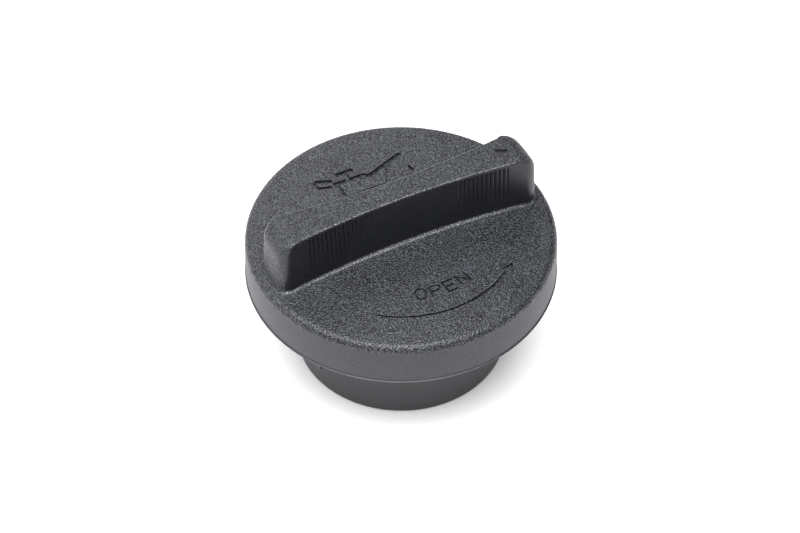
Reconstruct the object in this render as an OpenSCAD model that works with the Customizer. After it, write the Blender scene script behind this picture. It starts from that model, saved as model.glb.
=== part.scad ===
// Oil filler cap: a moulded head with a waisted grip bar, a bayonet plug and a seal ring.
// Z is the cap's axis. Z = 0 is the lower edge of the neck, and the bar runs along X.

/* [Head] */
// Radius of the head where its side meets the shoulder
head_r = 31; // [30:0.1:38]
// Height of the head's side, from its lower edge to the level where the face begins
head_h = 9.6; // [8.6:0.1:12]
// Height of the head's lower edge above the lower edge of the neck
head_z = 20.5; // [17:0.1:26]
// Extra radius at the lower edge of the side, from the draft of the mould
skirt_flare = 0.45; // [0.1:0.05:0.8]
// Wall of the side
skirt_wall = 1.9; // [1.4:0.1:2.4]
// Wall of the face
face_wall = 2.2; // [1.6:0.1:2.8]
// Rise of the face from its edge to its centre
dome_h = 1.2; // [0.6:0.1:2.4]
// Radius of the rounded shoulder
shoulder_r = 1.6; // [0.8:0.1:2.4]
// Radius of the inside corner under the shoulder
root_r = 1; // [0.4:0.1:1.6]
// Bevel on the lower edge of the side
skirt_bevel = 0.35; // [0.1:0.05:0.6]

/* [Grip bar] */
// Height of the bar's flat top above the edge of the face
bar_h = 12.1; // [9:0.1:15]
// Radius of the bar's ends at their foot, from the cap's axis
bar_end_r = 28.8; // [24:0.1:29]
// Half of the bar's width at its waist, at the foot
bar_waist = 3.3; // [2.9:0.05:4.6]
// Radius in plan of the two hollow sides
bar_side_r = 200; // [150:1:320]
// Radius of the four upright corners, at the foot
bar_corner_r = 2.6; // [2.5:0.05:3.2]
// Lean of the bar's walls, in degrees
bar_draft = 3; // [1:0.25:3.5]
// Radius by which the ends roll over into the top
bar_roll_r = 4; // [2.2:0.1:4.4]
// Distance from the ends over which the top's edge grows to that radius
bar_roll_len = 4.5; // [4.2:0.1:8]
// Radius along the long edges of the top
bar_edge_r = 0.4; // [0.2:0.05:0.8]
// Radius of the fillet at the bar's foot
bar_fillet = 0.9; // [0.4:0.05:1.2]
// Wall of the hollow bar
bar_wall = 1.7; // [1.3:0.05:1.8]
// Distance between the grip grooves on the bar's two long walls
groove_pitch = 0.94; // [0.8:0.02:1.1]
// Grip grooves on each side of the waist
groove_count = 23; // [6:1:24]
// Width of a grip groove
groove_w = 0.34; // [0.2:0.02:0.5]
// Depth of a grip groove
groove_depth = 0.3; // [0.15:0.05:0.5]
// Distance from the bar's top to the grooves' upper ends
groove_top = 0.75; // [0.6:0.05:2]

/* [Welded seat] */
// Width of the ring under the head that the plug is welded to
seat_w = 2; // [1.4:0.1:2.6]
// Distance of that ring from the wall of the side
seat_inset = 2.2; // [1.6:0.1:2.8]
// Thickness of the ribs under the face
rib_w = 1.2; // [0.8:0.1:1.8]
// Gap between the ribs' lower edges and the plug
rib_gap = 0.4; // [0.2:0.1:0.7]
// Angle between neighbouring ribs, of which each side of the bar has three
rib_spread = 40; // [25:1:50]

/* [Bayonet plug] */
// Outer radius of the neck
neck_r = 21.9; // [19:0.1:22.4]
// Wall of the neck
neck_wall = 2.2; // [1.6:0.1:2.8]
// Chamfer on the lower edge of the neck
neck_chamfer = 0.4; // [0.2:0.1:1]
// How much smaller the neck's lower stretch is, which enters the filler first
pilot_cut = 0.3; // [0.25:0.05:0.5]
// Height of that stretch
pilot_h = 8.2; // [5:0.1:8.5]
// Thickness of the flange that closes the neck
flange_t = 1.8; // [1.4:0.1:2.4]
// Height of the flange's underside above the head's lower edge
flange_z = 4.6; // [4:0.1:5]
// Gap between the flange and the wall of the side
flange_gap = 0.8; // [0.4:0.1:1.2]
// Height of the ring that centres the plug in the head
spigot_h = 0.9; // [0.5:0.1:1.1]
// Width of that ring
spigot_w = 1.6; // [1:0.1:2.2]
// Clearance of the centring ring and of the drive keys
plug_gap = 0.15; // [0.1:0.05:0.3]
// Height of the two keys that stand in the hollow bar
key_h = 6; // [4:0.5:8]
// Distance of the keys' inner ends from the axis
key_x = 13; // [9:0.5:14]
// Length of each key
key_len = 6; // [4:0.5:7]
// Height of the crossed ribs inside the neck
cross_h = 3; // [1.5:0.25:3.5]
// Thickness of the crossed ribs
cross_w = 1.6; // [1:0.1:2.2]

/* [Bayonet lugs] */
// How far each lug stands out of the neck
lug_out = 2.1; // [1.6:0.1:2.8]
// Height of the lugs' underside above the neck's lower edge
lug_z = 8.6; // [6:0.1:10]
// Height of a lug at its thin, leading end
lug_lead_h = 2.4; // [1.8:0.1:3]
// Rise of the ramp from the leading end to the other end
lug_rise = 0.9; // [0.4:0.1:1.4]
// Angle that a lug covers, in degrees
lug_arc = 42; // [28:1:56]
// Angle that the stop at the end of a lug covers, in degrees
stop_arc = 6; // [4:0.5:9]
// Height of the stop above the ramp
stop_h = 1.8; // [1:0.1:2.4]

/* [Seal] */
// Thickness of the seal ring
seal_t = 2.6; // [2:0.1:3]
// Clearance between the seal and the neck
seal_fit = 0.1; // [0.05:0.05:0.2]
// Distance of the seal's outer edge from the edge of the flange
seal_inset = 0.7; // [0.4:0.1:1.2]
// Bevel on the edges of the seal
seal_bevel = 0.4; // [0.2:0.1:0.7]
// Radius of the bead on the neck that holds the seal
bead_r = 0.5; // [0.35:0.05:0.6]

/* [Hidden] */
$fn = 144;
// Segments of the dome's circle, whose radius is many times the cap's
wide_fn = 2880;
// Overlap of shapes that are joined or cut
eps = 0.5;

// The side's line leans in by skirt_t for each millimetre up
skirt_t = skirt_flare / head_h;
skirt_a = atan(skirt_t);
foot_z = head_z + head_h;
face_top = foot_z + dome_h;
face_r = head_r - shoulder_r;
dome_r = (face_r * face_r + dome_h * dome_h) / (2 * dome_h);
dome_z = face_top - dome_r;

// The bar leans in by bar_t for each millimetre up
bar_t = tan(bar_draft);
bar_top = foot_z + bar_h;
// The bar is rooted half-way between the underside's highest point and the edge of the face
bar_root = (face_top - face_wall + foot_z) / 2;
// Distance of the axis of a hollow side's curve from the cap's axis
side_y = bar_side_r + bar_waist;
// Centre of an upright corner, which touches the end's arc and the hollow side
post_d = bar_end_r - bar_corner_r;
post_y = (side_y ^ 2 - (bar_side_r + bar_corner_r) ^ 2 + post_d ^ 2) / (2 * side_y);
post_x = sqrt(post_d ^ 2 - post_y ^ 2);
// Directions from that centre to the two points of touch, and the side's angle at its own
corner_a1 = atan2(post_y, post_x);
corner_a2 = atan2(side_y - post_y, -post_x);
side_a = asin((post_x + bar_corner_r * cos(corner_a2)) / bar_side_r);
// Steps of the outline along half an end, round a corner and along half a side
end_steps = 3;
corner_steps = 6;
side_steps = 12;
// Angle between the rings of the fillet, and between those of the top's rounded edge
fillet_step = 30;
edge_step = 18;
// Radius of the hollow's upper edges along its sides
hollow_edge_r = 0.2;
// Distance from the fillet's highest point to the grooves' lower ends
groove_foot = 0.3;
// How far the fillet runs into the face
fillet_sink = 0.06;

flange_lo = head_z + flange_z;
flange_hi = flange_lo + flange_t;
flange_r = skirt_in(flange_lo) - flange_gap;
seat_r = skirt_in(flange_hi) - seat_inset;
spigot_r = seat_r - seat_w - plug_gap;
bore_r = neck_r - neck_wall;
pilot_r = neck_r - pilot_cut;
seal_in = neck_r + seal_fit;
seal_out = flange_r - seal_inset;
seal_lo = flange_lo - seal_t;
lug_r = neck_r + lug_out;
key_half = hollow_half(key_x, flange_hi + key_h) - plug_gap;

// Radius of the side's outer face, and of its inner face, at height z
function skirt_at(z) = head_r + skirt_flare - skirt_t * (z - head_z);
function skirt_in(z) = skirt_at(z) - skirt_wall;
// How far the bar's walls have leaned in at height z
function lean(z) = bar_t * (z - foot_z);
// Half of the hollow's width at a distance x from the axis and at height z
function hollow_half(x, z) = side_y - sqrt((bar_side_r + bar_wall + lean(z)) ^ 2 - x ^ 2);
// Height above the lower edge of a corner circle that touches the leaning side
// and the dome from inside: a is the side's radius and r the dome's, both less the corner's
function corner_w(a, r) =
    let (b = dome_z - head_z, k = a * skirt_t + b, q = 1 + skirt_t ^ 2)
    (k + sqrt(k ^ 2 - q * (a ^ 2 + b ^ 2 - r ^ 2))) / q;
// A unit vector from p to q
function towards(p, q) = (q - p) / norm(q - p);

// Half of the head's section, smaller than the outside by the walls given
module bowl_2d(side_wall, top_wall, corner, low, bevel) {
    a = head_r + skirt_flare - side_wall - corner / cos(skirt_a);
    w = corner_w(a, dome_r - top_wall - corner);
    c = [a - skirt_t * w, head_z + w];
    up = towards([0, dome_z], c);
    out = [cos(skirt_a), sin(skirt_a)];
    reach = 3 * corner;
    difference() {
        intersection() {
            polygon([
                [0, low],
                [skirt_at(low) - side_wall - bevel, low],
                [skirt_at(low + bevel) - side_wall, low + bevel],
                [skirt_at(face_top) - side_wall, face_top],
                [0, face_top]
            ]);
            translate([0, dome_z]) circle(dome_r - top_wall, $fn = wide_fn);
        }
        polygon([c, c + up * reach, c + (up + out) * reach, c + out * reach]);
    }
    translate(c) circle(corner, $fn = 64);
}

module bowl(side_wall, top_wall, corner, low, bevel) {
    rotate_extrude() bowl_2d(side_wall, top_wall, corner, low, bevel);
}

// Share of the ends' radius in the top's edge, at a point p of the outline that is moved in by d
function end_share(p, d) =
    let (away = bar_end_r - abs(p[0]) - d * (1 - sign(p[0]) * p[2]))
    max(0, 1 - away / bar_roll_len);
// The bar's outline at its foot, as [x, y, normal x, normal y].
// One quarter runs from the end's middle round the corner and along the hollow side to the waist.
function bar_quarter() = concat(
    [for (i = [0:end_steps - 1]) let (a = corner_a1 * i / end_steps)
        [bar_end_r * cos(a), bar_end_r * sin(a), cos(a), sin(a)]],
    [for (i = [0:corner_steps - 1]) let (k = i / corner_steps, a = corner_a1 + (corner_a2 - corner_a1) * k)
        [post_x + bar_corner_r * cos(a), post_y + bar_corner_r * sin(a), cos(a), sin(a)]],
    [for (i = [0:side_steps]) let (a = side_a * (1 - i / side_steps))
        [bar_side_r * sin(a), side_y - bar_side_r * cos(a), -sin(a), cos(a)]]
);
// The quarter q turned over to one of the other three, and left without its first point
function turned(q, sx, sy, back) =
    let (n = len(q))
    [for (i = [1:n - 1]) let (p = q[back ? n - 1 - i : i]) [sx * p[0], sy * p[1], sx * p[2], sy * p[3]]];
function bar_outline() =
    let (q = bar_quarter(), n = 4 * (len(q) - 1))
    let (all = concat(q, turned(q, -1, 1, true), turned(q, -1, -1, false), turned(q, 1, -1, true)))
    [for (i = [0:n - 1]) all[i]];
// Height of the face at a distance r from the axis
function face_at(r) = dome_z + sqrt(dome_r ^ 2 - r ^ 2);
// A point of the outline moved in by d at height z
function moved(p, d, z) = [p[0] - d * p[2], p[1] - d * p[3], z];
// A point on the fillet at the bar's foot: t runs from 0 on the face to 90 on the wall
function on_fillet(p, t) =
    let (out = bar_fillet * (1 - sin(t)), r = norm([p[0], p[1]]) + bar_fillet)
    let (z = face_at(r) - fillet_sink + bar_fillet * (1 - cos(t)))
    moved(p, lean(z) - out, z);
// A point on the top edge of the bar, or of its hollow a wall further in, whose radius is edge
// along the sides and roll at the ends: t runs from 0 on the wall to 90 on the top
function on_edge(p, t, wall, edge, roll) =
    let (top = bar_top - wall, turn = 1 - cos(t))
    let (more = (roll - edge) * end_share(p, wall + lean(top) + edge))
    let (q = moved(p, wall + lean(top - edge - more) + edge * turn, top - (edge + more) * (1 - sin(t))))
    [q[0] - sign(p[0]) * more * turn, q[1], q[2]];

// A closed solid through rings of points that all have the same number of points
module loft(rings) {
    n = len(rings[0]);
    last = len(rings) - 1;
    polyhedron(
        points = [for (ring = rings, p = ring) p],
        faces = concat(
            [[for (i = [0:n - 1]) i]],
            [for (j = [0:last - 1], i = [0:n - 1]) let (k = (i + 1) % n)
                [j * n + i, (j + 1) * n + i, (j + 1) * n + k]],
            [for (j = [0:last - 1], i = [0:n - 1]) let (k = (i + 1) % n)
                [j * n + i, (j + 1) * n + k, j * n + k]],
            [[for (i = [n - 1:-1:0]) last * n + i]]
        )
    );
}

module bar_outside() {
    outline = bar_outline();
    loft(concat(
        [[for (p = outline) moved(p, -bar_fillet, bar_root)]],
        [for (t = [0:fillet_step:90]) [for (p = outline) on_fillet(p, t)]],
        [for (t = [0:edge_step:90]) [for (p = outline) on_edge(p, t, 0, bar_edge_r, bar_roll_r)]]
    ));
}

module bar_hollow() {
    outline = bar_outline();
    loft(concat(
        [[for (p = outline) moved(p, bar_wall + lean(flange_hi), flange_hi - eps)]],
        [for (t = [0:edge_step:90])
            [for (p = outline) on_edge(p, t, bar_wall, hollow_edge_r, bar_roll_r - bar_wall)]]
    ));
}

// The grip grooves, which stand upright on the two hollow sides and lean with them
module grip_grooves() {
    low = face_top + bar_fillet + groove_foot;
    for (s = [0, 1], k = [-groove_count:groove_count]) {
        mirror([0, s, 0]) translate([0, side_y, 0]) rotate([0, 0, asin(k * groove_pitch / bar_side_r)])
            translate([0, -bar_side_r - lean(low), low]) rotate([bar_draft, 0, 0])
            translate([-groove_w / 2, -groove_depth, 0])
            cube([groove_w, groove_depth + eps, (bar_top - groove_top - low) / cos(bar_draft)]);
    }
}

// The ring that the plug is welded to, and the ribs between it and the bar
module head_ribs() {
    intersection() {
        union() {
            difference() {
                translate([0, 0, flange_hi]) cylinder(face_top - flange_hi, r = seat_r);
                translate([0, 0, flange_hi - eps])
                    cylinder(face_top - flange_hi + 2 * eps, r = seat_r - seat_w);
            }
            for (k = [-1:1], side = [90, 270]) {
                rotate([0, 0, side + k * rib_spread])
                    translate([0, -rib_w / 2, flange_hi + spigot_h + rib_gap])
                    cube([seat_r - seat_w / 2, rib_w, face_top - flange_hi]);
            }
        }
        bowl(skirt_wall / 2, face_wall / 2, root_r, head_z, 0);
    }
}

module head_shell() {
    difference() {
        bowl(0, 0, shoulder_r, head_z, skirt_bevel);
        bowl(skirt_wall, face_wall, root_r, head_z - eps, 0);
    }
}

module head() {
    color([0.16, 0.165, 0.175])
    union() {
        difference() {
            union() {
                head_shell();
                bar_outside();
            }
            bar_hollow();
            grip_grooves();
        }
        difference() {
            head_ribs();
            bar_hollow();
        }
    }
}

// One lug points along +X. Its ramp rises with Y, and its stop stands at the high end.
module lug() {
    span = 2 * lug_r * sin(lug_arc / 2);
    mid = lug_lead_h + lug_rise / 2;
    root = neck_r - neck_wall / 2;
    difference() {
        translate([0, 0, lug_z]) rotate([0, 0, -lug_arc / 2])
            rotate_extrude(angle = lug_arc)
            translate([root, 0]) square([lug_r - root, lug_lead_h + lug_rise]);
        translate([0, 0, lug_z + mid]) rotate([atan(lug_rise / span), 0, 0])
            translate([0, -lug_r, 0]) cube([2 * lug_r, 2 * lug_r, lug_lead_h]);
    }
    translate([0, 0, lug_z]) rotate([0, 0, lug_arc / 2 - stop_arc])
        rotate_extrude(angle = stop_arc)
        translate([root, 0]) square([lug_r - root, lug_lead_h + lug_rise + stop_h]);
}

module neck_2d() {
    polygon([
        [bore_r, 0],
        [pilot_r - neck_chamfer, 0],
        [pilot_r, neck_chamfer],
        [pilot_r, pilot_h],
        [neck_r, pilot_h + pilot_cut],
        [neck_r, flange_lo],
        [flange_r, flange_lo],
        [flange_r, flange_hi],
        [spigot_r, flange_hi],
        [spigot_r, flange_hi + spigot_h],
        [spigot_r - spigot_w, flange_hi + spigot_h],
        [spigot_r - spigot_w, flange_hi],
        [0, flange_hi],
        [0, flange_lo],
        [bore_r, flange_lo]
    ]);
    translate([neck_r, seal_lo - bead_r]) circle(bead_r, $fn = 48);
}

module bayonet_plug() {
    color([0.19, 0.19, 0.2])
    union() {
        rotate_extrude() neck_2d();
        for (a = [0, 180]) {
            rotate([0, 0, a]) lug();
        }
        intersection() {
            translate([0, 0, flange_lo - cross_h])
                cylinder(cross_h + flange_t / 2, r = neck_r - neck_wall / 2);
            for (a = [0, 90]) {
                rotate([0, 0, a]) translate([-neck_r, -cross_w / 2, flange_lo - cross_h])
                    cube([2 * neck_r, cross_w, cross_h + flange_t]);
            }
        }
        for (s = [0, 1]) {
            mirror([s, 0, 0]) translate([key_x, -key_half, flange_lo])
                cube([key_len, 2 * key_half, flange_t + key_h]);
        }
    }
}

module seal_ring() {
    color([0.1, 0.1, 0.105])
    rotate_extrude() polygon([
        [seal_in + seal_bevel, seal_lo],
        [seal_out - seal_bevel, seal_lo],
        [seal_out, seal_lo + seal_bevel],
        [seal_out, flange_lo],
        [seal_in, flange_lo],
        [seal_in, seal_lo + seal_bevel]
    ]);
}

head();
bayonet_plug();
seal_ring();
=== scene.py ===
"""The looks of a moulded oil filler cap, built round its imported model.

Run as a script: it loads the frame, builds each piece with an operator and sets the stage.
Lengths are in metres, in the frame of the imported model: Z is the cap's axis and the grip bar runs along X.
"""

import math

import bmesh
import bpy
from bpy.props import FloatProperty, FloatVectorProperty, IntProperty, PointerProperty
from mathutils import Matrix, Vector


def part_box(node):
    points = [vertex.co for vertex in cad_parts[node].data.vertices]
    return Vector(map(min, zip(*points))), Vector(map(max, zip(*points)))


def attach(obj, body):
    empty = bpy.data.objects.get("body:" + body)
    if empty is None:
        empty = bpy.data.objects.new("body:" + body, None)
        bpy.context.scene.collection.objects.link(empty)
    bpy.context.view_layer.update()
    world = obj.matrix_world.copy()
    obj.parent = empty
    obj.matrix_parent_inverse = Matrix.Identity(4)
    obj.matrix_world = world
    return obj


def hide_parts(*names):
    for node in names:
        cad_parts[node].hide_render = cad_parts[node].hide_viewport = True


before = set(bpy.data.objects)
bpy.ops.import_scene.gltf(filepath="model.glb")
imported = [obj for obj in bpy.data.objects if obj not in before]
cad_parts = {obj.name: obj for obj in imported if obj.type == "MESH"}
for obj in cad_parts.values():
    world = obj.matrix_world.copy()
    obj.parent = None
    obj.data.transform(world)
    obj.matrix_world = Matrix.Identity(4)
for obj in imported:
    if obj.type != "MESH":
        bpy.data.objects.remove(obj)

bl_info = {
    "name": "Oil filler cap",
    "version": (1, 0, 0),
    "blender": (4, 5, 0),
    "location": "3D View > Sidebar > Filler cap",
    "description": "Builds a moulded oil filler cap with its grip bar, marks, neck and seal",
    "category": "Add Mesh",
}

MM = 0.001
TAU = 2 * math.pi
WHITE = (1, 1, 1, 1)
PLASTIC_IOR = 1.6

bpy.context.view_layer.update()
HEAD_LOW, HEAD_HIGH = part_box("head")
SEAL_LOW, SEAL_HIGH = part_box("seal_ring")

# Points closer than this are merged.
DOUBLES = 0.001 * MM
# A cutter stands out this far past the surface that it cuts.
OVER = MM
# A face of the mesh that is closer than SKIN to a surface is on it, and no mark is as deep as MARK_LIMIT.
SKIN = 0.02 * MM
MARK_LIMIT = MM
# A face is a wall where the upright part of its normal is under STEEP, and flat where it is over FLAT.
STEEP = 0.6
FLAT = 0.99
# A wall is a long one where this share of its level normal points across the bar.
ACROSS = 0.85
# The middle of a face may lie this far past the line where its part of the head ends.
SLACK = 0.1 * MM
# The bar's own grain begins at this share of its foot's height, and the face's runs on below.
GRAIN_FOOT = 0.45

# Steps of the round stretches in the sections and outlines.
SHOULDER_STEPS = 14
ROOT_STEPS = 6
RIM_STEPS = 5
SIDE_STEPS = 8
END_STEPS = 8
CORNER_STEPS = 16
FILLET_STEPS = 6
EDGE_STEPS = 10
HOLLOW_STEPS = 4
ARROW_STEPS = 48
ROUND_STEPS = 20
DROP_STEPS = 16
FLOOR_STEPS = 96

# The head's materials, in the order of its slots.
FACE, BAR, SIDE, WALL_PAINTED_SHADE, EDGE_HIGHLIGHT = range(5)


def length(name, millimetres, description):
    """A size, given in millimetres and kept in metres."""
    return FloatProperty(
        name=name, description=description, default=millimetres * MM, unit="LENGTH", precision=5
    )


def angle(name, degrees, description):
    """An angle, given in degrees and kept in radians."""
    return FloatProperty(name=name, description=description, default=math.radians(degrees), subtype="ANGLE")


def amount(name, value, description):
    """A plain number."""
    return FloatProperty(name=name, description=description, default=value)


def factor(name, value, description):
    """A number from 0 to 1."""
    return FloatProperty(name=name, description=description, default=value, min=0, max=1, subtype="FACTOR")


def count(name, value, description):
    """A whole number."""
    return IntProperty(name=name, description=description, default=value, min=0)


def colour(name, value, description):
    """A linear colour."""
    return FloatVectorProperty(
        name=name, description=description, default=value, size=3, subtype="COLOR", min=0, max=1
    )


class HeadSizes(bpy.types.PropertyGroup):
    """Sizes of the head's shell. All but the rim's lip are the same as in the construction."""

    radius: length("Radius", 31, "Radius where the side meets the shoulder")
    rim_z: length("Rim height", HEAD_LOW.z / MM, "Height of the lower edge of the side")
    side_height: length("Side height", 9.6, "From the lower edge to the level where the face begins")
    flare: length("Flare", 0.45, "Extra radius at the lower edge")
    side_wall: length("Side wall", 1.9, "Wall of the side")
    face_wall: length("Face wall", 2.2, "Wall of the face")
    dome_rise: length("Dome rise", 1.2, "Rise of the face from its edge to its centre")
    shoulder: length("Shoulder radius", 1.6, "Radius of the rounded shoulder")
    root: length("Root radius", 1.0, "Radius of the inside corner under the shoulder")
    rim_round: length("Rim rounding", 0.35, "Radius of the lower outer edge")
    rim_lip: length("Rim lip", 0.17, "How far the parting line stands out along the lower edge")
    flange: length("Flange", 1.8, "Thickness of the plug's flange, between the seal and the welded seat")
    seat_outer: length("Seat radius", 27.05, "Outer radius of the welded seat")
    seat_width: length("Seat width", 2.0, "Width of the welded seat")
    around: count("Segments", 288, "Segments round the axis")
    ring_step: length("Ring step", 0.9, "Distance between the rings of the face")


class BarSizes(bpy.types.PropertyGroup):
    """Sizes of the grip bar. All but the spread of its foot are the same as in the construction."""

    top_z: length("Top height", HEAD_HIGH.z / MM, "Height of the flat top")
    root_z: length("Root height", 29.6, "Height where the bar is rooted in the face's wall")
    end_r: length("End radius", 28.8, "Radius of the ends at their foot, from the axis")
    waist: length("Waist", 3.3, "Half of the width at the waist")
    side_r: length("Side radius", 200, "Radius in plan of the hollow sides")
    corner_r: length("Corner radius", 2.6, "Radius of the upright corners")
    draft: angle("Draft", 3, "Lean of the walls")
    roll_r: length("End roll", 4, "Radius by which the ends roll over into the top")
    roll_length: length("Roll length", 4.5, "Distance over which the top's edge grows to that radius")
    edge_r: length("Edge radius", 0.4, "Radius along the long edges of the top")
    fillet: length("Fillet", 0.9, "Radius of the fillet at the foot of the ends")
    spread: length("Foot spread", 0.65, "How far the foot of the waist stands out past the plain draft")
    sink: length("Fillet sink", 0.02, "How far the fillet runs into the face")
    wall: length("Wall", 1.7, "Wall of the hollow bar")
    hollow_edge: length("Hollow edge", 0.2, "Radius along the long edges of the hollow's top")


class GripSizes(bpy.types.PropertyGroup):
    """The upright grooves on the bar's two long walls, which fade out towards the waist."""

    pitch: length("Pitch", 0.94, "Distance between grooves")
    grooves: count("Grooves", 23, "Places for a groove on each side of the waist")
    plain: count("Plain", 7, "Places next to the waist that have no groove")
    fading: count("Fading", 9, "Grooves over which the depth grows")
    half_width: length("Half width", 0.17, "Half of a groove's width at its mouth")
    half_floor: length("Half floor", 0.12, "Half of the width of a groove's floor")
    depth: length("Depth", 0.3, "Depth of a groove")
    crown: length("Crown", 0.05, "How far a land falls away at its edges")
    below_top: length("Below the top", 0.75, "Distance from the top to the grooves' upper ends")
    above_foot: length("Above the foot", 0.3, "Distance from the fillet to the grooves' lower ends")
    end_step: length("End step", 0.03, "Height of the step that closes the grooves' upper ends")


class MarkSizes(bpy.types.PropertyGroup):
    """The marks sunk into the face and the bar's top."""

    depth: length("Symbol depth", 0.62, "Depth of the symbol's strokes")
    stroke: length("Symbol stroke", 1.05, "Width of the symbol's strokes")
    letter_depth: length("Letter depth", 0.34, "Depth of the letters and of the arrow's tail")
    letter_stroke: length("Letter stroke", 0.38, "Width of the letters' strokes")
    letter_width: length("Letter width", 2.1, "Width of a letter between the middles of its strokes")
    letter_height: length("Letter height", 2.55, "Height of a letter between the middles of its strokes")
    word_r: length("Word radius", 18, "Distance of the word's middle line from the axis")
    word_a: angle("Word angle", -89.9, "Direction of the word's middle")
    letter_a: angle("Letter spacing", 9.87, "Angle between neighbouring letters")
    arrow_r: length("Arrow radius", 23.1, "Radius of the arrow's inner edge")
    arrow_tail: angle("Arrow tail", -128.5, "Direction of the arrow's tail")
    arrow_point: angle("Tail point", 1.3, "How far the tail's point runs on past that direction")
    arrow_neck: angle("Arrow neck", -55.3, "Direction where the arrow's head begins")
    arrow_tip: angle("Arrow tip", -49.2, "Direction of the arrow's tip")
    arrow_thin: length("Tail width", 0.3, "Width of the arrow at its tail")
    arrow_wide: length("Neck width", 0.95, "Width of the arrow where its head begins")
    arrow_depth: length("Neck depth", 0.62, "Depth of the arrow at its neck and head")
    arrow_barb: length("Barb", 0.8, "How far the arrow's head stands out on each side")
    pointer_x: length("Pointer place", 21.2, "Distance of the triangle's base from the axis")
    pointer_length: length("Pointer length", 2.65, "Length of the triangle on the bar")
    pointer_width: length("Pointer width", 2.95, "Width of the triangle's base")


class Finishes(bpy.types.PropertyGroup):
    """Colours, roughness and grain of the mouldings."""

    face_colour: colour("Face", (0.028, 0.030, 0.036), "Grained plastic of the face")
    bar_colour: colour("Bar", (0.027, 0.029, 0.035), "Fine-grained plastic of the bar")
    # The grip wall's dark colour is painted shade: it darkens the bar's long walls, the walls of the sunk
    # marks and the whole grooves of the letters and the triangle.
    wall_colour: colour("Grip wall", (0.010, 0.011, 0.014), "Smooth plastic of the bar's long walls")
    # The edge colour is a painted highlight along the bar's rounded top edges and the fillet at its foot.
    edge_colour: colour("Edge", (0.070, 0.073, 0.082), "Rubbed plastic along the bar's edges and its foot")
    side_colour: colour("Side", (0.029, 0.031, 0.040), "Satin plastic of the side")
    plug_colour: colour("Plug", (0.030, 0.032, 0.036), "Smooth plastic of the neck")
    seal_colour: colour("Seal", (0.014, 0.014, 0.015), "Rubber of the seal")
    face_rough: factor("Face roughness", 0.32, "Roughness of the face")
    bar_rough: factor("Bar roughness", 0.35, "Roughness of the bar")
    wall_rough: factor("Grip wall roughness", 0.3, "Roughness of the bar's long walls")
    edge_rough: factor("Edge roughness", 0.32, "Roughness of the bar's edges")
    side_rough: factor("Side roughness", 0.4, "Roughness of the side")
    plug_rough: factor("Plug roughness", 0.4, "Roughness of the neck")
    seal_rough: factor("Seal roughness", 0.62, "Roughness of the seal")
    face_grain: length("Face grain", 0.38, "Size of the face's grains")
    bar_grain: length("Bar grain", 0.32, "Size of the bar's grains")
    side_grain: length("Side grain", 0.36, "Size of the side's grains")
    wall_grain: length("Grip wall grain", 0.3, "Size of the grains on the bar's long walls")
    edge_grain: length("Edge grain", 0.3, "Size of the grains on the bar's edges")
    plug_grain: length("Plug grain", 0.2, "Size of the neck's grains")
    seal_grain: length("Seal grain", 0.25, "Size of the seal's grains")
    face_relief: length("Face relief", 0.19, "Height of the face's grains")
    bar_relief: length("Bar relief", 0.15, "Height of the bar's grains")
    side_relief: length("Side relief", 0.06, "Height of the side's grains")
    wall_relief: length("Grip wall relief", 0.015, "Height of the grains on the bar's long walls")
    edge_relief: length("Edge relief", 0.1, "Height of the grains on the bar's edges")
    plug_relief: length("Plug relief", 0.008, "Height of the neck's grains")
    seal_relief: length("Seal relief", 0.02, "Height of the seal's grains")
    grain_mottle: length("Grain mottle", 7, "Size of the faint clouds in the grained plastic")
    satin_mottle: length("Satin mottle", 6, "Size of the faint clouds in the satin plastic")
    seal_mottle: length("Seal mottle", 5, "Size of the faint clouds in the rubber")


class StageSizes(bpy.types.PropertyGroup):
    """The floor, the lamps and the camera."""

    azimuth: angle("Azimuth", -27, "Camera's direction round the cap")
    elevation: angle("Elevation", 46.15, "Camera's height above the horizon")
    distance: length("Distance", 450, "Camera's distance from its target")
    target_z: length("Target height", 28.5, "Height of the point that the camera circles")
    aim_down: length("Aim down", 5.92, "How far below that point the camera looks")
    aim_left: length("Aim left", 0.2, "How far left of that point the camera looks")
    lens: length("Lens", 101.66, "Focal length")
    sensor: length("Sensor", 36, "Width of the camera's sensor")
    floor_r: length("Floor radius", 3000, "Radius of the floor")
    floor_colour: colour("Floor", (0.85, 0.85, 0.87), "Colour of the floor")
    lamp_distance: length("Lamp distance", 600, "Distance of the overhead lamp")
    lamp_front: angle("Lamp front", 18, "How far the overhead lamp stands in front of the vertical")
    lamp_left: angle("Lamp left", 2, "How far the overhead lamp stands to the left")
    lamp_width: length("Lamp width", 690, "Size of the overhead lamp from left to right")
    lamp_depth: length("Lamp depth", 520, "Size of the overhead lamp from front to back")
    lamp_glow: amount("Lamp radiance", 6.4, "Radiance of the overhead lamp")
    panel_distance: length("Panel distance", 900, "Distance of the two panels")
    back_left: angle("Back left", 22, "How far left of straight behind the panel behind stands")
    back_rise: angle("Back rise", 31, "How far the panel behind stands above the horizon")
    back_width: length("Back width", 1000, "Width of the panel behind")
    back_height: length("Back height", 900, "Height of the panel behind")
    back_glow: amount("Back radiance", 1.3, "Radiance of the panel behind")
    left_rise: angle("Left rise", 30, "How far the panel on the left stands above the horizon")
    left_size: length("Left size", 700, "Size of the panel on the left")
    left_glow: amount("Left radiance", 1.55, "Radiance of the panel on the left")
    world_glow: amount("World", 0.09, "Light from all round")
    floor_glow: amount("Floor glow", 0.5, "Light that the floor adds for the camera and for reflections")
    floor_reach: length("Floor shade", 8, "Distance over which the floor's glow fades under the cap")


def deselect():
    """Leaves object mode on and nothing selected."""
    if bpy.context.mode != "OBJECT":
        bpy.ops.object.mode_set(mode="OBJECT")
    bpy.ops.object.select_all(action="DESELECT")


def edit_all():
    """Enters edit mode with the whole mesh selected."""
    bpy.ops.object.mode_set(mode="EDIT")
    bpy.ops.mesh.select_all(action="SELECT")


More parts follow.
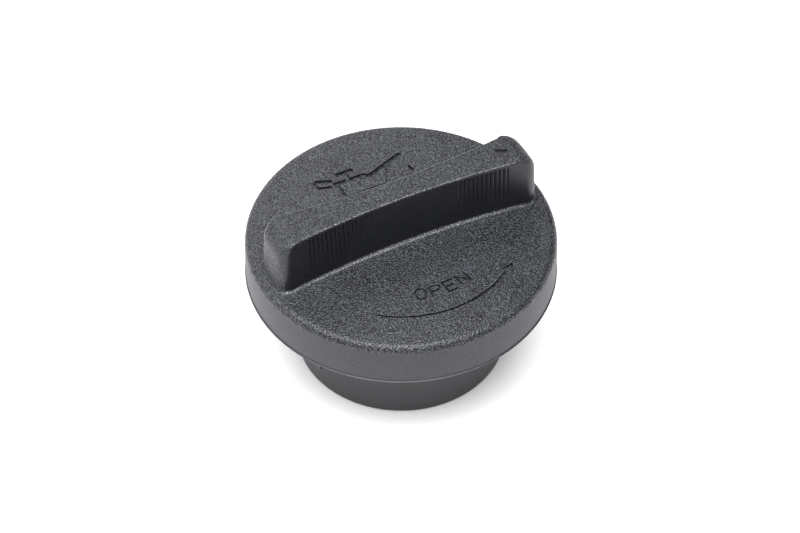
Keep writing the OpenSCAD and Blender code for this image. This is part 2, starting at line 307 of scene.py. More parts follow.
def chain(name, points, closed=False):
    """Edges drawn by extruding one vertex from point to point."""
    deselect()
    bpy.ops.mesh.primitive_plane_add(size=MM, location=(0, 0, 0))
    piece = bpy.context.object
    piece.name = name
    edit_all()
    bpy.ops.mesh.merge(type="CENTER")
    bpy.ops.transform.translate(value=points[0])
    for here, there in zip(points, points[1:]):
        bpy.ops.mesh.extrude_vertices_move(TRANSFORM_OT_translate={"value": there - here})
    if closed:
        mesh = bmesh.from_edit_mesh(piece.data)
        mesh.verts.ensure_lookup_table()
        for vertex in mesh.verts:
            vertex.select = len(vertex.link_edges) == 1
        bpy.ops.mesh.edge_face_add()
    return piece


def finish_shell():
    """Merges doubles and turns the faces outwards, then leaves edit mode."""
    bpy.ops.mesh.select_all(action="SELECT")
    bpy.ops.mesh.remove_doubles(threshold=DOUBLES)
    bpy.ops.mesh.normals_make_consistent(inside=False)
    bpy.ops.object.mode_set(mode="OBJECT")


def spun(name, profile, steps):
    """A closed shell, spun about the axis from a chain that starts and ends on it."""
    piece = chain(name, [Vector((r, 0, z)) for r, z in profile])
    bpy.ops.mesh.select_all(action="SELECT")
    bpy.ops.mesh.spin(steps=steps, angle=TAU, center=(0, 0, 0), axis=(0, 0, 1))
    finish_shell()
    return piece


def loft(name, rings):
    """A closed shell: a disc is laid on the first ring of points and extruded to each of the others."""
    deselect()
    bpy.ops.mesh.primitive_circle_add(vertices=len(rings[0]), radius=MM, fill_type="NGON")
    piece = bpy.context.object
    piece.name = name
    station = piece.data.attributes.new("station", "INT", "POINT")
    for vertex in piece.data.vertices:
        station.data[vertex.index].value = vertex.index
    edit_all()
    for ring in rings:
        if ring is not rings[0]:
            bpy.ops.mesh.extrude_region_move()
        mesh = bmesh.from_edit_mesh(piece.data)
        layer = mesh.verts.layers.int["station"]
        for vertex in mesh.verts:
            if vertex.select:
                vertex.co = ring[vertex[layer]]
        bmesh.update_edit_mesh(piece.data)
    finish_shell()
    piece.data.attributes.remove(piece.data.attributes["station"])
    return piece


def boolean(piece, others, operation):
    """Joins the others to the piece or cuts them out of it, all in one step."""
    tools = bpy.data.collections.new("tools")
    bpy.context.scene.collection.children.link(tools)
    for other in others:
        tools.objects.link(other)
    deselect()
    bpy.context.view_layer.objects.active = piece
    piece.select_set(True)
    bpy.ops.object.modifier_add(type="BOOLEAN")
    modifier = piece.modifiers[-1]
    modifier.operation = operation
    modifier.solver = "EXACT"
    modifier.operand_type = "COLLECTION"
    modifier.collection = tools
    bpy.ops.object.modifier_apply(modifier=modifier.name)
    for other in others:
        bpy.data.objects.remove(other)
    bpy.data.collections.remove(tools)


class HeadForm:
    """The head's derived sizes, worked out as in the construction."""

    def __init__(self, head):
        self.head = head
        self.lean = head.flare / head.side_height
        self.lean_angle = math.atan(self.lean)
        self.edge_z = head.rim_z + head.side_height
        self.face_r = head.radius - head.shoulder
        self.dome_r = (self.face_r**2 + head.dome_rise**2) / (2 * head.dome_rise)
        self.dome_z = self.edge_z + head.dome_rise - self.dome_r
        self.seat_z = SEAL_HIGH.z + head.flange

    def side_at(self, z):
        """Radius of the side at a height."""
        return self.head.radius + self.head.flare - self.lean * (z - self.head.rim_z)

    def face_at(self, r, wall=0.0):
        """Height of the face, or of its underside a wall below, at a distance from the axis."""
        return self.dome_z + math.sqrt((self.dome_r - wall) ** 2 - r**2)

    def corner(self, side_wall, face_wall, radius):
        """Centre of a corner that touches the side and the face from inside."""
        a = self.head.radius + self.head.flare - side_wall - radius / math.cos(self.lean_angle)
        b = self.dome_z - self.head.rim_z
        r = self.dome_r - face_wall - radius
        k = a * self.lean + b
        q = 1 + self.lean**2
        w = (k + math.sqrt(k**2 - q * (a**2 + b**2 - r**2))) / q
        return a - self.lean * w, self.head.rim_z + w

    def bowl(self, side_wall, face_wall, radius, steps):
        """Section from the axis along the face and round the corner to the side."""
        corner_r, corner_z = self.corner(side_wall, face_wall, radius)
        steep = math.atan2(corner_z - self.dome_z, corner_r)
        reach = corner_r + radius * math.cos(steep)
        rings = math.ceil(reach / self.head.ring_step)
        face = [(reach * i / rings, self.face_at(reach * i / rings, face_wall)) for i in range(rings)]
        turns = [steep + (self.lean_angle - steep) * i / steps for i in range(steps + 1)]
        return face + [(corner_r + radius * math.cos(a), corner_z + radius * math.sin(a)) for a in turns]


def shell_profile(form):
    """Section of the head's shell, from the middle of its face round the rim to its underside's middle."""
    head = form.head
    outside = form.bowl(0, 0, head.shoulder, SHOULDER_STEPS)
    low, soft = head.rim_z, head.rim_round
    side_z = outside[-1][1]
    lip_z = low + soft + head.rim_lip / 2
    for i in range(1, SIDE_STEPS + 1):
        k = i / SIDE_STEPS
        z = side_z + (lip_z - side_z) * k
        outside.append((form.side_at(z) - head.rim_lip * k**3, z))
    outside.append((form.side_at(low + soft), low + soft))
    centre = form.side_at(low) - soft
    for i in range(1, RIM_STEPS + 1):
        a = math.pi / 2 * i / RIM_STEPS
        outside.append((centre + soft * math.cos(a), low + soft - soft * math.sin(a)))
    inner_r = form.side_at(low) - head.side_wall
    bevel = soft / 2
    rim = [(inner_r + bevel, low), (inner_r, low + bevel)]
    inside = form.bowl(head.side_wall, head.face_wall, head.root, ROOT_STEPS)[::-1]
    seat_inner = head.seat_outer - head.seat_width
    beyond = [p for p in inside if p[0] > head.seat_outer]
    within = [p for p in inside if p[0] < seat_inner]
    seat = [
        (head.seat_outer, form.face_at(head.seat_outer, head.face_wall)),
        (head.seat_outer, form.seat_z),
        (seat_inner, form.seat_z),
        (seat_inner, form.face_at(seat_inner, head.face_wall)),
    ]
    return outside + rim + beyond + seat + within


class BarForm:
    """The bar's outline at its foot and the rings of its loft."""

    def __init__(self, bar, grip, form):
        self.bar = bar
        self.grip = grip
        self.form = form
        self.side_y = bar.side_r + bar.waist
        self.straight = bar.end_r - 2 * bar.corner_r
        reach = bar.end_r - bar.corner_r
        self.post_y = (self.side_y**2 - (bar.side_r + bar.corner_r) ** 2 + reach**2) / (2 * self.side_y)
        self.post_x = math.sqrt(reach**2 - self.post_y**2)

    def lean(self, z):
        """How far the walls have leaned in at a height."""
        return math.tan(self.bar.draft) * (z - self.form.edge_z)

    def groove_stations(self):
        """Places along a side, from the outermost groove to the waist, each with its depth."""
        grip = self.grip
        across = [
            (grip.half_width, grip.crown),
            (grip.half_floor, grip.depth),
            (-grip.half_floor, grip.depth),
            (-grip.half_width, grip.crown),
            (-0.35 * grip.pitch, 0.25 * grip.crown),
            (-0.5 * grip.pitch, 0.0),
            (-0.65 * grip.pitch, 0.25 * grip.crown),
        ]
        stations = [(grip.grooves * grip.pitch + grip.half_width + SKIN, 0.0)]
        for k in range(grip.grooves, 0, -1):
            share = min(1.0, max(0.0, (k - grip.plain) / grip.fading))
            stations += [(k * grip.pitch + offset, depth * share) for offset, depth in across]
        return stations + [(grip.half_width, 0.0), (0.0, 0.0)]

    def quarter(self):
        """Points of the outline from the end's middle to the waist.

        Each is x, y, the outward normal's x and y, and the groove's depth."""
        bar = self.bar
        first = math.atan2(self.post_y, self.post_x)
        last = math.atan2(self.side_y - self.post_y, -self.post_x)
        points = []
        for i in range(END_STEPS):
            a = first * i / END_STEPS
            points.append((bar.end_r * math.cos(a), bar.end_r * math.sin(a), math.cos(a), math.sin(a), 0.0))
        for i in range(CORNER_STEPS):
            a = first + (last - first) * i / CORNER_STEPS
            x = self.post_x + bar.corner_r * math.cos(a)
            y = self.post_y + bar.corner_r * math.sin(a)
            points.append((x, y, math.cos(a), math.sin(a), 0.0))
        corner_x = self.post_x + bar.corner_r * math.cos(last)
        stations = self.groove_stations()
        outer = bar.side_r * math.asin(corner_x / bar.side_r)
        plain = [(outer + (stations[0][0] - outer) * i / END_STEPS, 0.0) for i in range(END_STEPS)]
        for along, depth in plain + stations:
            a = along / bar.side_r
            x = bar.side_r * math.sin(a)
            y = self.side_y - bar.side_r * math.cos(a)
            points.append((x, y, -math.sin(a), math.cos(a), depth))
        return points

    def outline(self):
        """The whole outline, anticlockwise from the middle of the end at +X."""
        quarter = self.quarter()
        back = quarter[::-1]
        turned = [(quarter, 1, 1), (back, -1, 1), (quarter, -1, -1), (back, 1, -1)]
        whole = []
        for points, sx, sy in turned:
            for x, y, nx, ny, depth in points[1:] if whole else points:
                whole.append((sx * x, sy * y, sx * nx, sy * ny, depth))
        return whole[:-1]

    def moved(self, point, inward, z):
        """A point of the outline, moved in and set at a height."""
        return Vector((point[0] - inward * point[2], point[1] - inward * point[3], z))

    def inset(self, point, z):
        """How far the wall stands inside the outline at a height: its lean less the spread of its foot."""
        middle = max(0.0, 1 - (point[0] / self.straight) ** 2)
        low = self.form.edge_z
        share = min(1.0, (z - low) / (self.on_top(point, 0).z - low))
        return self.lean(z) - self.bar.spread * middle * (1 - share)

    def on_fillet(self, point, turn):
        """A point on the fillet: turn runs from 0 on the face to 90 degrees on the wall."""
        fillet = self.bar.fillet
        r = math.hypot(point[0], point[1]) + fillet
        z = self.form.face_at(r) - self.bar.sink + fillet * (1 - math.cos(turn))
        return self.moved(point, self.inset(point, z) - fillet * (1 - math.sin(turn)), z)

    def end_share(self, point, inward):
        """Share of the ends' radius in the top's edge, at a point of the outline that is moved in."""
        away = self.bar.end_r - abs(point[0]) - inward * (1 - math.copysign(point[2], point[0] * point[2]))
        return max(0.0, 1 - away / self.bar.roll_length)

    def on_edge(self, point, turn, wall, edge, roll):
        """A point on the top edge of the bar, or of its hollow a wall further in.

        The edge's radius is edge along the sides and roll at the ends.
        The turn runs from 0 on the wall to 90 degrees on the top."""
        top = self.bar.top_z - wall
        more = (roll - edge) * self.end_share(point, wall + self.lean(top) + edge)
        back = 1 - math.cos(turn)
        z = top - (edge + more) * (1 - math.sin(turn))
        place = self.moved(point, wall + self.lean(top - edge - more) + edge * back, z)
        place.x -= math.copysign(more * back, point[0])
        return place

    def on_top(self, point, turn):
        """A point on the bar's own top edge."""
        return self.on_edge(point, turn, 0, self.bar.edge_r, self.bar.roll_r)

    def on_wall(self, point, height, sunk):
        """A point on the wall at a share of its height, sunk by a share of its groove's depth."""
        low = self.on_fillet(point, math.pi / 2).z
        high = self.on_top(point, 0).z
        z = low + (high - low) * height
        return self.moved(point, self.inset(point, z) + sunk * point[4], z)

    def rings(self):
        """Rings of the outside, from the root in the face's wall to the top."""
        outline = self.outline()
        bar, grip = self.bar, self.grip
        wall = bar.top_z - bar.edge_r - self.form.edge_z - bar.fillet
        start = grip.above_foot / wall
        stop = 1 - (grip.below_top - bar.edge_r) / wall
        step = grip.end_step / wall
        # Shares of the wall's height, each with the share of the grooves' depth that is reached there.
        levels = [(start, 0), (0.3, 0.4), (0.55, 0.8), (0.75, 1), (stop - step, 1), (stop, 0)]
        foot = [self.on_fillet(p, 0) for p in outline]
        for point in foot:
            point.z = bar.root_z
        rings = [foot]
        for i in range(FILLET_STEPS + 1):
            rings.append([self.on_fillet(p, math.pi / 2 * i / FILLET_STEPS) for p in outline])
        for height, sunk in levels:
            rings.append([self.on_wall(p, height, sunk) for p in outline])
        for i in range(EDGE_STEPS + 1):
            rings.append([self.on_top(p, math.pi / 2 * i / EDGE_STEPS) for p in outline])
        return rings

    def hollow(self, low):
        """Rings of the space inside the bar, on every third point of its outline."""
        outline = self.outline()[::3]
        bar = self.bar
        roll = bar.roll_r - bar.wall
        rings = [[self.moved(p, bar.wall + self.lean(low), low) for p in outline]]
        for i in range(HOLLOW_STEPS + 1):
            turn = math.pi / 2 * i / HOLLOW_STEPS
            rings.append([self.on_edge(p, turn, bar.wall, bar.hollow_edge, roll) for p in outline])
        return rings


def stroke(name, form, points, width, depth, closed=False):
    """A cutter along a line on the face: a ribbon that stands on the groove's floor, made solid."""
    ends = zip(points, points[1:] + points[:1]) if closed else zip(points, points[1:])
    path = []
    for here, there in ends:
        here, there = Vector(here), Vector(there)
        steps = max(1, round((there - here).length / MM))
        path += [here.lerp(there, i / steps) for i in range(steps)]
    if not closed:
        path.append(Vector(points[-1]))
    floor = [Vector((p.x, p.y, form.face_at(p.length) - depth)) for p in path]
    piece = chain(name, floor, closed)
    bpy.ops.mesh.select_all(action="SELECT")
    bpy.ops.mesh.extrude_region_move(TRANSFORM_OT_translate={"value": (0, 0, depth + OVER)})
    finish_shell()
    bpy.ops.object.modifier_add(type="SOLIDIFY")
    modifier = piece.modifiers[-1]
    modifier.thickness = width
    modifier.offset = 0
    modifier.use_even_offset = True
    bpy.ops.object.modifier_apply(modifier=modifier.name)
    edit_all()
    finish_shell()
    return piece


def pocket(name, form, outline):
    """A cutter for a flat-sided hollow in the face. The outline holds x, y and the depth there."""
    low, high = [], []
    for x, y, depth in outline:
        z = form.face_at(math.hypot(x, y))
        low.append(Vector((x, y, z - depth)))
        high.append(Vector((x, y, z + OVER)))
    return loft(name, [low, high])


def letter_lines():
    """The lines of the four letters in a cell one wide and one high, each with whether it closes."""
    square = 0.8
    round_o = []
    for i in range(ROUND_STEPS):
        a = TAU * i / ROUND_STEPS
        x = math.copysign(abs(math.cos(a)) ** square, math.cos(a))
        y = math.copysign(abs(math.sin(a)) ** square, math.sin(a))
        round_o.append((0.5 + 0.5 * x, 0.5 + 0.5 * y))
    bowl = [(0.0, 1.0), (0.62, 1.0)]
    bowl += [(0.68 + 0.32 * math.sin(a), 0.76 + 0.24 * math.cos(a)) for a in (0.5, 1.0, 1.57, 2.1, 2.6)]
    bowl += [(0.62, 0.52), (0.0, 0.52)]
    return [
        [(round_o, True)],
        [([(0.0, 0.0), (0.0, 1.0)], False), (bowl, False)],
        [([(1.0, 1.0), (0.0, 1.0), (0.0, 0.0), (1.0, 0.0)], False), ([(0.0, 0.52), (0.9, 0.52)], False)],
        [([(0.0, 0.0), (0.0, 1.0), (1.0, 0.0), (1.0, 1.0)], False)],
    ]


def word_cutters(form, marks):
    """Cutters for the word OPEN, set round the axis with the letters' tops towards the bar."""
    letters = letter_lines()
    cutters = []
    for index, lines in enumerate(letters):
        a = marks.word_a + marks.letter_a * (index - (len(letters) - 1) / 2)
        out = Vector((math.cos(a), math.sin(a)))
        along = Vector((-math.sin(a), math.cos(a)))
        for points, closed in lines:
            placed = []
            for x, y in points:
                middle = out * (marks.word_r - marks.letter_height * (y - 0.5))
                placed.append(tuple(middle + along * marks.letter_width * (x - 0.5)))
            cutters.append(stroke("letter", form, placed, marks.letter_stroke, marks.letter_depth, closed))
    return cutters


def arrow_cutter(form, marks):
    """A cutter for the curved arrow: thin and shallow at its tail, wide and deep at its neck."""
    near, shallow, deep = marks.arrow_r, marks.letter_depth, marks.arrow_depth
    inner, outer = [], []
    for i in range(ARROW_STEPS + 1):
        k = i / ARROW_STEPS
        a = marks.arrow_tail + (marks.arrow_neck - marks.arrow_tail) * k
        width = marks.arrow_thin + (marks.arrow_wide - marks.arrow_thin) * k**1.5
        depth = shallow + (deep - shallow) * k
        inner.append((near, a, depth))
        outer.append((near + width, a, depth))
    tail = (near + marks.arrow_thin + 0.1 * MM, marks.arrow_tail - marks.arrow_point, shallow)
    head = [
        (near - marks.arrow_barb, marks.arrow_neck, deep),
        (near + marks.arrow_wide / 2, marks.arrow_tip, deep),
        (near + marks.arrow_wide + marks.arrow_barb, marks.arrow_neck, deep),
    ]
    whole = [tail] + inner + head + outer[::-1]
    return pocket("arrow", form, [(r * math.cos(a), r * math.sin(a), depth) for r, a, depth in whole])


def symbol_cutters(form, marks):
    """Cutters for the oil can: body, spout, filler knob, handle and a drop.

    Each line has its points in millimetres, whether it closes, and its share of the stroke's width."""
    body = [(-6.1, 17.1), (-0.1, 17.0), (1.1, 16.15), (6.2, 18.1), (3.35, 12.25), (-6.1, 12.45)]
    lines = [
        (body, True, 1.0),
        ([(5.9, 18.0), (9.6, 19.38)], False, 1.0),
        ([(-3.2, 17.1), (-3.2, 19.4)], False, 1.0),
        ([(-5.0, 19.45), (-1.25, 19.5)], False, 1.0),
        ([(-6.45, 18.25), (-9.7, 19.65)], False, 0.95),
        ([(-9.8, 19.55), (-9.85, 17.65), (-7.0, 16.75)], False, 0.57),
    ]
    cutters = []
    for points, closed, wide in lines:
        placed = [(x * MM, y * MM) for x, y in points]
        cutters.append(stroke("symbol", form, placed, marks.stroke * wide, marks.depth, closed))
    drop_x, drop_y, half_width, half_height = 9.5, 14.55, 0.62, 0.95
    drop = []
    for i in range(DROP_STEPS):
        a = TAU * i / DROP_STEPS
        x = drop_x + half_width * math.sin(a) * math.sin(a / 2)
        y = drop_y + half_height * math.cos(a)
        drop.append((x * MM, y * MM, marks.depth))
    cutters.append(pocket("drop", form, drop))
    return cutters


def pointer_cutter(bar, marks):
    """A cutter for the triangle on the bar's top, which points along the bar."""
    base, half = marks.pointer_x, marks.pointer_width / 2
    outline = [(base, -half), (base + marks.pointer_length, 0.0), (base, half)]
    low = [Vector((x, y, bar.top_z - marks.letter_depth)) for x, y in outline]
    high = [Vector((x, y, bar.top_z + OVER)) for x, y in outline]
    return loft("pointer", [low, high])


def smooth(piece, degrees=32):
    """Shades the piece smooth up to an angle, with the large faces leading."""
    deselect()
    bpy.context.view_layer.objects.active = piece
    piece.select_set(True)
    bpy.ops.object.shade_smooth_by_angle(angle=math.radians(degrees), keep_sharp_edges=True)
    bpy.ops.object.modifier_add(type="WEIGHTED_NORMAL")
    modifier = piece.modifiers[-1]
    modifier.keep_sharp = True
    bpy.ops.object.modifier_apply(modifier=modifier.name)


class Value:
    """What a node gives. Operators on a number add Math nodes."""

    def __init__(self, shader, socket):
        self.shader = shader
        self.socket = socket

    def math(self, operation, *values):
        """Adds a Math node on these values."""
        return self.shader.add("ShaderNodeMath", {"operation": operation}, values)

    def __add__(self, other):
        return self.math("ADD", self, other)

    def __radd__(self, other):
        return self.math("ADD", other, self)

    def __sub__(self, other):
        return self.math("SUBTRACT", self, other)

    def __rsub__(self, other):
        return self.math("SUBTRACT", other, self)

    def __mul__(self, other):
        return self.math("MULTIPLY", self, other)

    def __rmul__(self, other):
        return self.math("MULTIPLY", other, self)


class Shader:
    """The nodes of one material, or of the world."""

    def __init__(self, owner):
        self.owner = owner
        owner.use_nodes = True
        self.tree = owner.node_tree
        self.tree.nodes.clear()

    def add(self, kind, settings=None, values=(), output=0):
        """Adds a node of a type, its settings first and then the values or links of its sockets."""
        node = self.tree.nodes.new(kind)
        for key, value in (settings or {}).items():
            setattr(node, key, value)
        pairs = values.items() if isinstance(values, dict) else enumerate(values)
        for key, value in pairs:
            if isinstance(value, Value):
                self.tree.links.new(value.socket, node.inputs[key])
            else:
                node.inputs[key].default_value = value
        return Value(self, node.outputs[output] if node.outputs else None)

    def place(self):
        """The piece's own coordinates."""
        return self.add("ShaderNodeTexCoord", output="Object")

    def noise(self, place, size, detail=2.0, roughness=0.5):
        """Noise whose grains are of that size."""
        values = {"Vector": place, "Scale": 1 / size, "Detail": detail, "Roughness": roughness}
        return self.add("ShaderNodeTexNoise", {}, values)

    def pits(self, place, size, smoothness):
        """Rounded cells of that size, 0 at their middles."""
        settings = {"feature": "SMOOTH_F1"}
        values = {"Vector": place, "Scale": 1 / size, "Smoothness": smoothness}
        return self.add("ShaderNodeTexVoronoi", settings, values)

    def tint(self, tone, low, high):
        """A colour between two others."""
        values = {0: tone, 6: (*low, 1), 7: (*high, 1)}
        return self.add("ShaderNodeMix", {"data_type": "RGBA"}, values, output=2)

    def bump(self, height, distance):
        """A normal from a height of 0 to 1 over a distance in metres."""
        return self.add("ShaderNodeBump", {}, {"Height": height, "Distance": distance})

    def plastic(self, values):
        """Ends the material in a Principled shader of plastic."""
        return self.surface({"IOR": PLASTIC_IOR, **values})

    def surface(self, values):
        """Ends the material in a Principled shader."""
        shader = self.add("ShaderNodeBsdfPrincipled", {}, values, output="BSDF")
        self.add("ShaderNodeOutputMaterial", {}, {"Surface": shader})
        return self.owner


def shade_of(base, times):
    """A colour made lighter or darker."""
    return tuple(min(1.0, c * times) for c in base)


def finish_of(finish, part):
    """The colour, roughness, grain size and grain height of a part of the cap."""
    return [getattr(finish, f"{part}_{what}") for what in ("colour", "rough", "grain", "relief")]


def spark_eroded(name, finish, part):
    """Plastic from a spark-eroded mould: rounded bumps and pits, with dull and shiny grains."""
    base, rough, grain, relief = finish_of(finish, part)
    shader = Shader(bpy.data.materials.new(name))
    place = shader.place()
    coarse = shader.noise(place, grain, 2.0, 0.6)
    cells = shader.pits(place, grain * 0.9, 0.5)
    height = coarse * 0.6 + cells * 0.5
    mottle = shader.noise(place, finish.grain_mottle, 2.0)
    specks = shader.noise(place, grain * 0.9, 1.0)
    tone = 0.38 + (specks - 0.5) * 5.2 + (mottle - 0.5) * 0.5
    return shader.plastic(
        {
            "Base Color": shader.tint(tone, shade_of(base, 0.2), shade_of(base, 2.8)),
            "Roughness": rough - (specks - 0.5) * 0.8,
            "Normal": shader.bump(height, relief),
        }
    )


def satin(name, finish, part):
    """Plastic from a finely blasted mould."""
    base, rough, grain, relief = finish_of(finish, part)
    shader = Shader(bpy.data.materials.new(name))
    place = shader.place()
    fine = shader.noise(place, grain, 2.0, 0.6)
    mottle = shader.noise(place, finish.satin_mottle, 3.0, 0.6)
    tone = 0.5 + (fine - 0.5) * 2.5 + (mottle - 0.5) * 0.8
    return shader.plastic(
        {
            "Base Color": shader.tint(tone, shade_of(base, 0.6), shade_of(base, 1.4)),
            "Roughness": rough - 0.05 + mottle * 0.1,
            "Normal": shader.bump(fine, relief),
        }
    )


def rubber(name, finish, part):
    """Matt moulded rubber."""
    base, rough, grain, relief = finish_of(finish, part)
    shader = Shader(bpy.data.materials.new(name))
    place = shader.place()
    fine = shader.noise(place, grain, 3.0, 0.7)
    bloom = shader.noise(place, finish.seal_mottle, 3.0, 0.6)
    return shader.surface(
        {
            "Base Color": shader.tint(bloom, shade_of(base, 0.8), shade_of(base, 1.6)),
            "Roughness": rough + bloom * 0.2,
            "Normal": shader.bump(fine, relief),
        }
    )


def dress(piece, node, material=None):
    """Gives the piece its material, if one is given, hides the model's node that it stands in for, and hangs
    it on the root body.
    """
    if material:
        piece.data.materials.clear()
        piece.data.materials.append(material)
    if piece.name != node:
        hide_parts(node)
    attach(piece, "root")


def face_material(polygon, form, bar_form, marks):
    """The material of one face of the head's mesh, by its place and by the way it looks."""
    bar, centre, normal = bar_form.bar, polygon.center, polygon.normal
    r = math.hypot(centre.x, centre.y)
    inside = centre.z < form.edge_z - MM
    if r >= form.face_r:
        shoulder_z = form.corner(0, 0, form.head.shoulder)[1]
        outside = r > form.head.radius - form.head.side_wall / 2
        return SIDE if centre.z < shoulder_z - SLACK and (outside or inside) else FACE

    along = centre.x - marks.pointer_x
    in_pointer = -SLACK < along < marks.pointer_length and abs(centre.y) < marks.pointer_width / 2
    # The triangle's hollow takes the dark wall finish as painted shade.
    if in_pointer and SKIN < bar.top_z - centre.z < MARK_LIMIT:
        return WALL_PAINTED_SHADE

    upright = abs(normal.z)
    over = centre.z - form.face_at(r)
    if over > SKIN:
        crosswise = abs(normal.y) > ACROSS * math.hypot(normal.x, normal.y)
        if crosswise or abs(centre.x) < bar_form.straight:
            # Steep faces of the long walls take the dark wall finish as painted shade.
            if upright < STEEP:
                return WALL_PAINTED_SHADE
            # Faces that lean between the wall and the top take the pale edge finish as a painted highlight.
            if upright < FLAT:
                return EDGE_HIGHLIGHT
        return BAR if over > GRAIN_FOOT * bar.fillet else FACE
    if -MARK_LIMIT < over < -SKIN:
        # The walls of the sunk marks, and the whole groove of each letter, take the dark wall finish as
        # painted shade.
        letter = centre.y < 0 and r < (marks.word_r + marks.arrow_r) / 2
        return WALL_PAINTED_SHADE if letter or upright < STEEP else FACE
    return SIDE if over < 0 and inside else FACE


class CAP_OT_head(bpy.types.Operator):
    """Builds the head: its domed shell, the grip bar with its grooves, and the sunk marks"""

    bl_idname = "cap.head"
    bl_label = "Grip head"

    def execute(self, context):
        scene = context.scene
        head, bar, marks, finish = scene.cap_head, scene.cap_bar, scene.cap_marks, scene.cap_finish
        form = HeadForm(head)
        bar_form = BarForm(bar, scene.cap_grip, form)
        piece = spun("grip_head", shell_profile(form), head.around)
        boolean(piece, [loft("bar", bar_form.rings())], "UNION")
        cutters = [loft("hollow", bar_form.hollow(form.seat_z - OVER))]
        cutters += [arrow_cutter(form, marks), pointer_cutter(bar, marks)]
        cutters += word_cutters(form, marks)
        cutters += symbol_cutters(form, marks)
        boolean(piece, cutters, "DIFFERENCE")
        smooth(piece)
        materials = {
            FACE: spark_eroded("grained_face", finish, "face"),
            BAR: spark_eroded("grained_bar", finish, "bar"),
            SIDE: satin("satin_side", finish, "side"),
            # The wall finish is smooth plastic, with a dark colour that is painted shade.
            WALL_PAINTED_SHADE: satin("smooth_wall", finish, "wall"),
            # The edge finish is grained plastic, with a pale colour that is a painted highlight.
            EDGE_HIGHLIGHT: spark_eroded("rubbed_edge", finish, "edge"),
        }
        for index in sorted(materials):
            piece.data.materials.append(materials[index])
        for polygon in piece.data.polygons:
            polygon.material_index = face_material(polygon, form, bar_form, marks)
        dress(piece, "head")
        return {"FINISHED"}


class CAP_OT_plug(bpy.types.Operator):
    """Finishes the bayonet plug: the neck, its flange and its lugs"""

    bl_idname = "cap.plug"
    bl_label = "Bayonet plug"

    def execute(self, context):
        material = satin("smooth_plug", context.scene.cap_finish, "plug")
        dress(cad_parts["bayonet_plug"], "bayonet_plug", material)
        return {"FINISHED"}


class CAP_OT_seal(bpy.types.Operator):
    """Finishes the seal ring"""

    bl_idname = "cap.seal"
    bl_label = "Seal ring"

    def execute(self, context):
        material = rubber("seal_rubber", context.scene.cap_finish, "seal")
        dress(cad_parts["seal_ring"], "seal_ring", material)
        return {"FINISHED"}


def seen_rays(shader):
    """1 for rays from the camera and for rays that a reflection or a clear material passes on."""
    camera = shader.add("ShaderNodeLightPath", output="Is Camera Ray")
    glossy = shader.add("ShaderNodeLightPath", output="Is Glossy Ray")
    clear = shader.add("ShaderNodeLightPath", output="Is Transmission Ray")
    return camera.math("MAXIMUM", camera, glossy.math("MAXIMUM", glossy, clear))


def pale_floor(stage):
    """The floor's material, which takes light and shadow: white to the camera, and pale in reflections.

    Its glow fades under the cap for the camera, and is half as strong in reflections."""
    shader = Shader(bpy.data.materials.new("pale_floor"))
    lit = shader.add("ShaderNodeBsdfDiffuse", {}, {"Color": (*stage.floor_colour, 1)})
    reach = {"Distance": stage.floor_reach}
    near = shader.add("ShaderNodeAmbientOcclusion", {"samples": 16}, reach, output="AO")
    camera = shader.add("ShaderNodeLightPath", output="Is Camera Ray")
    level = stage.floor_glow * (0.5 + camera * (near - 0.5))
    glow = shader.add("ShaderNodeEmission", {}, {"Color": WHITE, "Strength": level})
    both = shader.add("ShaderNodeAddShader", {}, (lit, glow))
    surface = shader.add("ShaderNodeMixShader", {}, (seen_rays(shader), lit, both))
    shader.add("ShaderNodeOutputMaterial", {}, {"Surface": surface})
    return shader.owner


def pale_world(strength):
    """The world: white to the camera, and dim to all that it lights.

    It is dim in reflections as well, since a white room would turn the black plastic grey."""
    shader = Shader(bpy.data.worlds.new("surroundings"))
    dim = shader.add("ShaderNodeBackground", {}, {"Color": WHITE, "Strength": strength})
    bright = shader.add("ShaderNodeBackground", {}, {"Color": WHITE})
    camera = shader.add("ShaderNodeLightPath", output="Is Camera Ray")
    surface = shader.add("ShaderNodeMixShader", {}, (camera, dim, bright))
    shader.add("ShaderNodeOutputWorld", {}, {"Surface": surface})
    return shader.owner


def add_lamp(name, place, target, across, width, depth, radiance):
    """An oval area lamp of a given radiance, aimed at a point, with its width along a direction."""
    bpy.ops.object.light_add(type="AREA", location=place)
    lamp = bpy.context.object
    lamp.name = name
    lamp.data.shape = "ELLIPSE"
    lamp.data.size = width
    lamp.data.size_y = depth
    lamp.data.energy = radiance * math.pi * math.pi * width * depth / 4
    back = (place - target).normalized()
    over = back.cross(across).normalized()
    lamp.rotation_euler = Matrix((over.cross(back), over, back)).transposed().to_euler()


def add_lamps(stage, target, level, left, up):
    """The wide overhead lamp, the panel behind the cap and the one on its left."""
    overhead = up + level * math.tan(stage.lamp_front) + left * math.tan(stage.lamp_left)
    place = target + overhead.normalized() * stage.lamp_distance
    add_lamp("overhead", place, target, left, stage.lamp_width, stage.lamp_depth, stage.lamp_glow)
    away = left * math.sin(stage.back_left) - level * math.cos(stage.back_left)
    behind = up * math.sin(stage.back_rise) + away * math.cos(stage.back_rise)
    place = target + behind * stage.panel_distance
    add_lamp("behind", place, target, left, stage.back_width, stage.back_height, stage.back_glow)
    side = up * math.sin(stage.left_rise) + left * math.cos(stage.left_rise)
    place = target + side * stage.panel_distance
    add_lamp("left", place, target, level, stage.left_size, stage.left_size, stage.left_glow)


def add_camera(stage, target, level, up):
    """The camera, on a sphere round the target and aimed a little beside it."""
    back = level * math.cos(stage.elevation) + up * math.sin(stage.elevation)
    bpy.ops.object.camera_add(location=target + back * stage.distance)
    camera = bpy.context.object
    camera.name = "camera"
    right = up.cross(back).normalized()
    above = back.cross(right)
    aim = target - above * stage.aim_down - right * stage.aim_left
    camera.rotation_euler = (camera.location - aim).to_track_quat("Z", "Y").to_euler()
    camera.data.sensor_width = stage.sensor / MM
    camera.data.lens = stage.lens / MM
    return camera


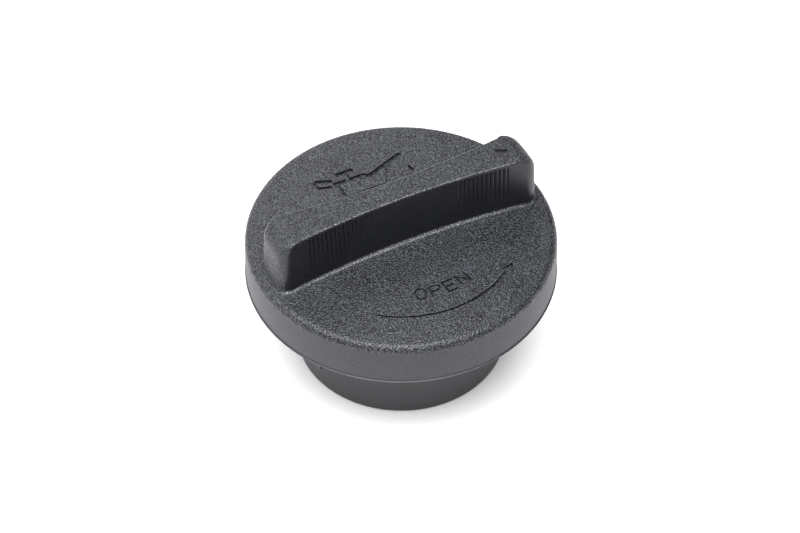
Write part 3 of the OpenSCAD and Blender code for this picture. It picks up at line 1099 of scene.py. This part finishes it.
class CAP_OT_stage(bpy.types.Operator):
    """Sets the floor, the soft lamps, the world and the camera"""

    bl_idname = "cap.stage"
    bl_label = "Stage"

    def execute(self, context):
        scene = context.scene
        stage = scene.cap_stage
        deselect()
        bpy.ops.mesh.primitive_circle_add(vertices=FLOOR_STEPS, radius=stage.floor_r, fill_type="NGON")
        floor = context.object
        floor.name = "floor"
        floor.data.materials.append(pale_floor(stage))

        target = Vector((0, 0, stage.target_z))
        level = Vector((math.sin(stage.azimuth), -math.cos(stage.azimuth), 0))
        up = Vector((0, 0, 1))
        add_lamps(stage, target, level, level.cross(up), up)
        scene.world = pale_world(stage.world_glow)
        scene.camera = add_camera(stage, target, level, up)
        scene.view_settings.view_transform = "Standard"
        return {"FINISHED"}


class CAP_PT_panel(bpy.types.Panel):
    """Lists the cap's operators and their sizes"""

    bl_idname = "CAP_PT_panel"
    bl_label = "Filler cap"
    bl_space_type = "VIEW_3D"
    bl_region_type = "UI"
    bl_category = "Filler cap"

    def draw(self, context):
        for operator in OPERATORS:
            self.layout.operator(operator.bl_idname)
        for name, group in GROUPS.items():
            box = self.layout.box()
            settings = getattr(context.scene, name)
            for field in group.__annotations__:
                box.prop(settings, field)


OPERATORS = [CAP_OT_head, CAP_OT_plug, CAP_OT_seal, CAP_OT_stage]
GROUPS = {
    "cap_head": HeadSizes,
    "cap_bar": BarSizes,
    "cap_grip": GripSizes,
    "cap_marks": MarkSizes,
    "cap_finish": Finishes,
    "cap_stage": StageSizes,
}


def register():
    """Registers the classes and puts the sizes on the scene."""
    for group in [*GROUPS.values(), *OPERATORS, CAP_PT_panel]:
        bpy.utils.register_class(group)
    for name, group in GROUPS.items():
        setattr(bpy.types.Scene, name, PointerProperty(type=group))


def unregister():
    """Takes the sizes off the scene and unregisters the classes."""
    for name in GROUPS:
        delattr(bpy.types.Scene, name)
    for group in [CAP_PT_panel, *OPERATORS[::-1], *reversed(GROUPS.values())]:
        bpy.utils.unregister_class(group)


def main():
    register()
    bpy.ops.cap.head()
    bpy.ops.cap.plug()
    bpy.ops.cap.seal()
    bpy.ops.cap.stage()


if __name__ == "__main__":
    main()
